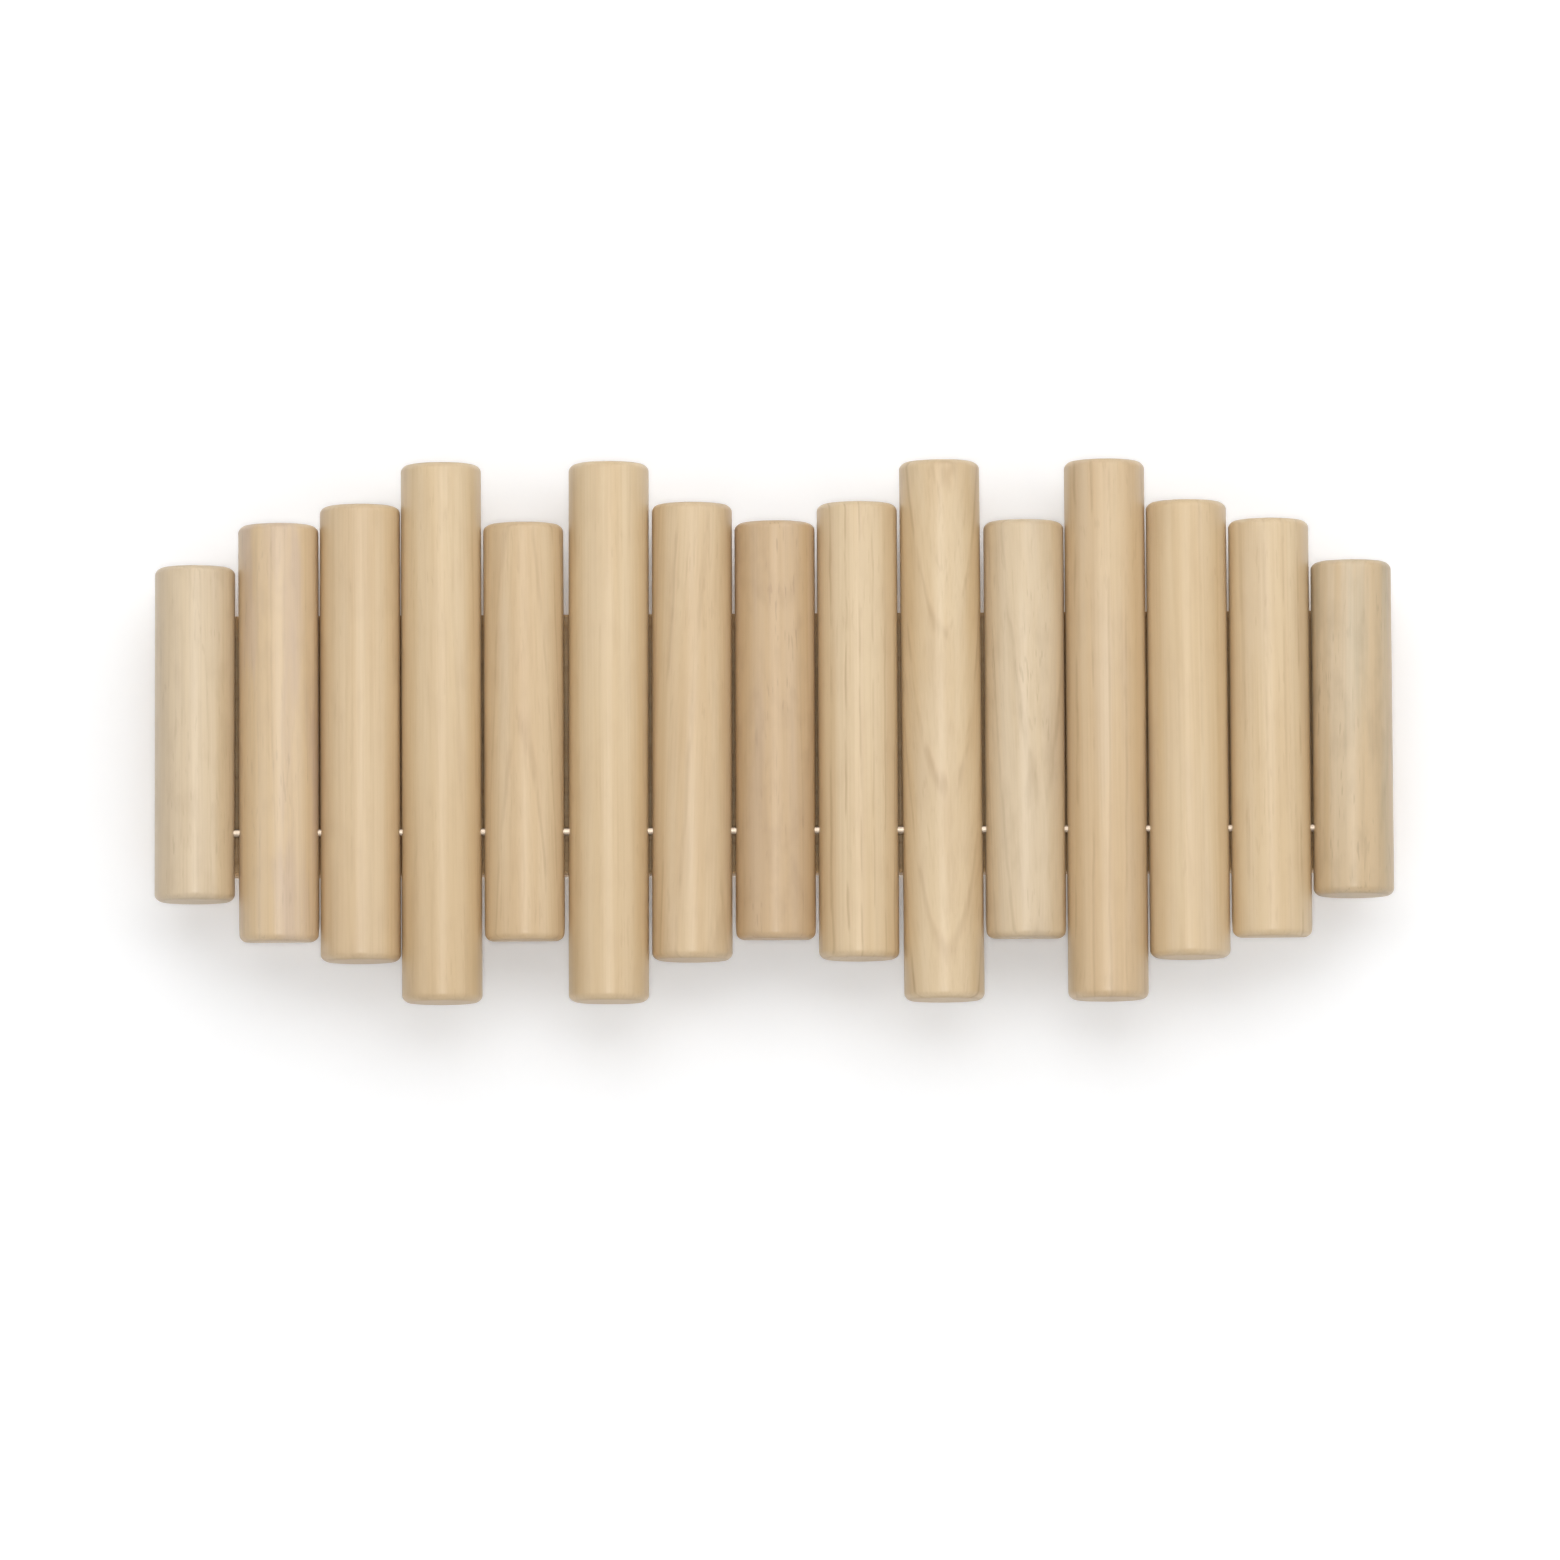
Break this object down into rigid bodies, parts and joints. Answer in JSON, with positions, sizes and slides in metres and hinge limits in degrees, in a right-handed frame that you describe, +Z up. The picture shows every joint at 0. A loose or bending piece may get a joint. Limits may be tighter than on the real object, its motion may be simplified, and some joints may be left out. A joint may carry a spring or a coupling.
{
  "type": "peg rail",
  "caption": "Wall rack of upright round wooden dowels side by side on a backboard; some of them tip out about a steel rod to make coat pegs.",
  "frame": {"origin": "on the wall plane, behind the middle of the row and level with the middle of every dowel", "axes": "+Z up, +X along the row to the right as seen from the front, +Y into the wall; the dowels face -Y"},
  "size_m": [0.4929, 0.046, 0.2152],
  "materials": {
    "dowel_wood": "satin lacquered light beech",
    "board_wood": "sanded light beech, unlacquered",
    "rod_steel": "bright drawn steel",
    "plate_steel": "zinc plated",
    "screw_steel": "zinc plated"
  },
  "bodies": {
    "root": {"backboard": "board_wood", "dowel_01": "dowel_wood", "dowel_03": "dowel_wood", "dowel_04": "dowel_wood", "dowel_06": "dowel_wood", "dowel_07": "dowel_wood", "dowel_09": "dowel_wood", "dowel_10": "dowel_wood", "dowel_12": "dowel_wood", "dowel_13": "dowel_wood", "dowel_15": "dowel_wood", "pivot_rod": "rod_steel", "dowel_screws": "screw_steel", "keyhole_plate_left": "plate_steel", "keyhole_plate_right": "plate_steel", "plate_screws": "screw_steel"},
    "hook_02": {"hook_02": "dowel_wood"},
    "hook_05": {"hook_05": "dowel_wood"},
    "hook_08": {"hook_08": "dowel_wood"},
    "hook_11": {"hook_11": "dowel_wood"},
    "hook_14": {"hook_14": "dowel_wood"}
  },
  "joints": [
    {"name": "hook_02_tip", "type": "hinge", "parent": "root", "child": "hook_02", "pos_m": [0, -0.032, -0.0395], "axis": [1, 0, 0], "range_deg": [0, 25]},
    {"name": "hook_05_tip", "type": "hinge", "parent": "root", "child": "hook_05", "pos_m": [0, -0.032, -0.0395], "axis": [1, 0, 0], "range_deg": [0, 25]},
    {"name": "hook_08_tip", "type": "hinge", "parent": "root", "child": "hook_08", "pos_m": [0, -0.032, -0.0395], "axis": [1, 0, 0], "range_deg": [0, 25]},
    {"name": "hook_11_tip", "type": "hinge", "parent": "root", "child": "hook_11", "pos_m": [0, -0.032, -0.0395], "axis": [1, 0, 0], "range_deg": [0, 25]},
    {"name": "hook_14_tip", "type": "hinge", "parent": "root", "child": "hook_14", "pos_m": [0, -0.032, -0.0395], "axis": [1, 0, 0], "range_deg": [0, 25]}
  ]
}
